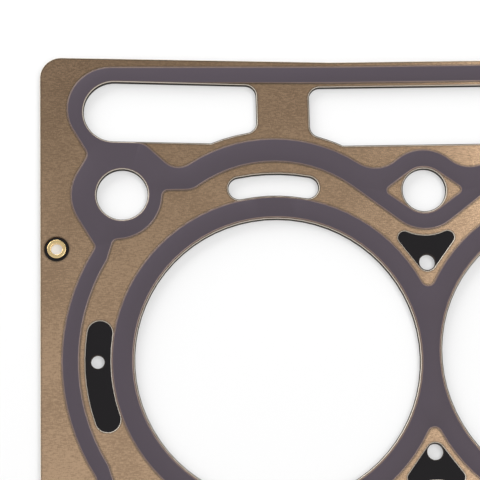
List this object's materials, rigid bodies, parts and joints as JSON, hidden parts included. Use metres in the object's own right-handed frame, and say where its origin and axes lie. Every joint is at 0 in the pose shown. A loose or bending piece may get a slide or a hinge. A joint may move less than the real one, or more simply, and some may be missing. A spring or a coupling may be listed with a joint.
{
  "type": "cylinder head gasket",
  "caption": "Multi-layer steel cylinder head gasket with round bores, bolt holes, side ports, coolant slots and raised coated sealing tracks.",
  "frame": {"origin": "centre of the outline in plan, on the surface that the gasket lies on", "axes": "+X along the engine, +Y towards the side with the ports, +Z towards the cylinder head"},
  "size_m": [0.3996, 0.1584, 0.0024],
  "materials": {
    "beaded_steel": "fine-grained spring steel with a bronze tone",
    "spacer": "steel with a black coating",
    "elastomer": "matt printed elastomer, grey violet",
    "stopper": "plain spring steel",
    "eyelet": "bright brass"
  },
  "bodies": {
    "root": {"upper_beaded_layer": "beaded_steel", "lower_beaded_layer": "beaded_steel", "spacer_layer": "spacer", "upper_bore_coating": "elastomer", "upper_outer_coating": "elastomer", "lower_bore_coating": "elastomer", "lower_outer_coating": "elastomer", "stopper_ring_1": "stopper", "stopper_ring_2": "stopper", "stopper_ring_3": "stopper", "stopper_ring_4": "stopper", "end_eyelet_left": "eyelet", "end_eyelet_right": "eyelet", "corner_eyelet_left": "eyelet", "corner_eyelet_right": "eyelet"}
  },
  "joints": []
}
